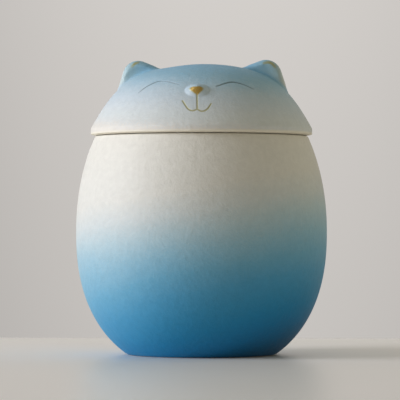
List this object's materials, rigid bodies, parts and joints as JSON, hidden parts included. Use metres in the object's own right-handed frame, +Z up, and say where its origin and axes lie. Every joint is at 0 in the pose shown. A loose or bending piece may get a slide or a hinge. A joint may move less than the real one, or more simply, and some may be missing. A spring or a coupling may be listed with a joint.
{
  "type": "funeral urn",
  "caption": "Small ceramic cat-shaped urn: an egg-shaped jar on a flat foot, with a lift-off lid shaped as a cat's smiling head.",
  "frame": {"origin": "on the jar's axis, at the level of the foot ring that it stands on", "axes": "+Z up along the jar's axis; the cat's face looks along -Y; +X is to the right of someone who looks at the face"},
  "size_m": [0.136, 0.136, 0.1601],
  "materials": {
    "jar_ceramic": "matt stoneware with a fine grain, fading from cream at the lip to mid blue at the foot",
    "lid_ceramic": "matt stoneware fading from blue at the crown to cream at the rim, with gold colour on the nose, the mouth and the ear tips"
  },
  "bodies": {
    "root": {"egg_jar": "jar_ceramic", "cat_head_lid": "lid_ceramic"}
  },
  "joints": []
}
